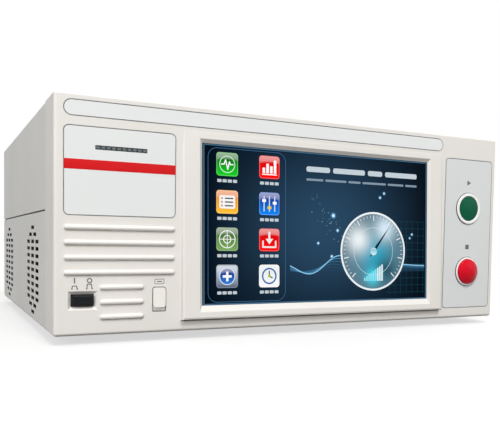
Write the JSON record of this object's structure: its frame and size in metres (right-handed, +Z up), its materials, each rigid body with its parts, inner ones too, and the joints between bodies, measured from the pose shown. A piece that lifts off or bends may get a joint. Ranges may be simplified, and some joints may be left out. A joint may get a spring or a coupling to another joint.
{
  "type": "electrical safety analyzer",
  "caption": "Bench electrical safety analyzer with a leaning touch display, round push buttons, slotted sheet-metal housing, fan and rear test terminals.",
  "frame": {"origin": "on the surface that the feet stand on, under the middle of the instrument's bounding box", "axes": "+X to the right as the user faces the front, +Y from the front to the back, +Z up"},
  "size_m": [0.43, 0.391, 0.1859],
  "materials": {
    "bezel": "fine-textured cream moulding",
    "overlay": "pale printed film",
    "button_panel": "light grey printed film",
    "smoked_lens": "smoked light bar",
    "circuit_board": "glass-fibre board with solder mask",
    "screen": "touch glass over a lit display",
    "display_metal": "display module can",
    "zinc_steel": "zinc-plated sheet steel",
    "green_button": "glossy green cap",
    "red_button": "glossy red cap",
    "red_plastic": "red insulating plastic",
    "white_plastic": "white button ring",
    "black_plastic": "black moulding",
    "nickel": "nickel plate",
    "grey_paint": "fine-textured light grey paint on sheet steel",
    "rubber": "black rubber",
    "brass": "bright brass",
    "aluminium": "extruded aluminium",
    "core_steel": "varnished laminations",
    "winding_tape": "yellow insulating tape over copper",
    "potting_resin": "black potting resin"
  },
  "bodies": {
    "housing": {"front_bezel": "bezel", "title_overlay": "overlay", "warning_overlay": "overlay", "button_overlay": "button_panel", "lamp_window": "smoked_lens", "lamp_board": "circuit_board", "touch_glass": "screen", "display_panel": "display_metal", "display_bracket": "zinc_steel", "display_driver_board": "circuit_board", "start_ring": "white_plastic", "start_lock_nut": "black_plastic", "start_switch": "black_plastic", "stop_ring": "white_plastic", "stop_lock_nut": "black_plastic", "stop_switch": "black_plastic", "power_switch": "black_plastic", "port_socket": "nickel", "port_board": "circuit_board", "bottom_chassis": "grey_paint", "top_cover": "grey_paint", "cover_screw_left": "nickel", "cover_screw_middle": "nickel", "cover_screw_right": "nickel", "front_subframe": "zinc_steel", "side_rail_left": "zinc_steel", "side_rail_right": "zinc_steel", "divider_wall": "zinc_steel", "rear_panel": "grey_paint", "foot_front_left": "rubber", "foot_front_right": "rubber", "foot_rear_left": "rubber", "foot_rear_right": "rubber", "fan_frame": "black_plastic", "fan_guard": "nickel", "mains_inlet": "black_plastic", "high_voltage_socket": "red_plastic", "return_socket": "black_plastic", "bond_drive_socket_high": "red_plastic", "bond_drive_socket_low": "black_plastic", "bond_sense_socket_high": "red_plastic", "bond_sense_socket_low": "black_plastic", "device_outlet": "black_plastic", "serial_port": "nickel", "network_port": "nickel", "earth_stud": "brass", "earth_nut": "brass", "main_board": "circuit_board", "power_supply_board": "circuit_board", "relay_board": "circuit_board", "amplifier_heat_sink": "aluminium", "transformer_core": "core_steel", "transformer_winding": "winding_tape", "high_voltage_transformer": "potting_resin"},
    "start_cap": {"start_button": "green_button"},
    "stop_cap": {"stop_button": "red_button"},
    "power_cap": {"power_button": "black_plastic"},
    "port_lid": {"port_cover": "bezel"},
    "rotor": {"fan_rotor": "black_plastic"},
    "drawer": {"fuse_drawer": "black_plastic"}
  },
  "joints": [
    {"name": "start_press", "type": "slide", "parent": "housing", "child": "start_cap", "axis": [0, 1, 0], "range_m": [0, 0.003], "stiffness_N_per_m": 600, "springref_m": -0.002},
    {"name": "stop_press", "type": "slide", "parent": "housing", "child": "stop_cap", "axis": [0, 1, 0], "range_m": [0, 0.003], "stiffness_N_per_m": 600, "springref_m": -0.002},
    {"name": "power_press", "type": "slide", "parent": "housing", "child": "power_cap", "axis": [0, 1, 0], "range_m": [0, 0.0035], "stiffness_N_per_m": 500, "springref_m": -0.002},
    {"name": "port_cover_swing", "type": "hinge", "parent": "housing", "child": "port_lid", "pos_m": [-0.1355, -0.1872, 0.0248], "axis": [1, 0, 0], "range_deg": [0, 90]},
    {"name": "fan_spin", "type": "hinge", "parent": "housing", "child": "rotor", "pos_m": [-0.0515, 0.168, 0.107], "axis": [0, 1, 0], "continuous": true},
    {"name": "fuse_drawer_slide", "type": "slide", "parent": "housing", "child": "drawer", "axis": [0, 1, 0], "range_m": [0, 0.02]}
  ]
}
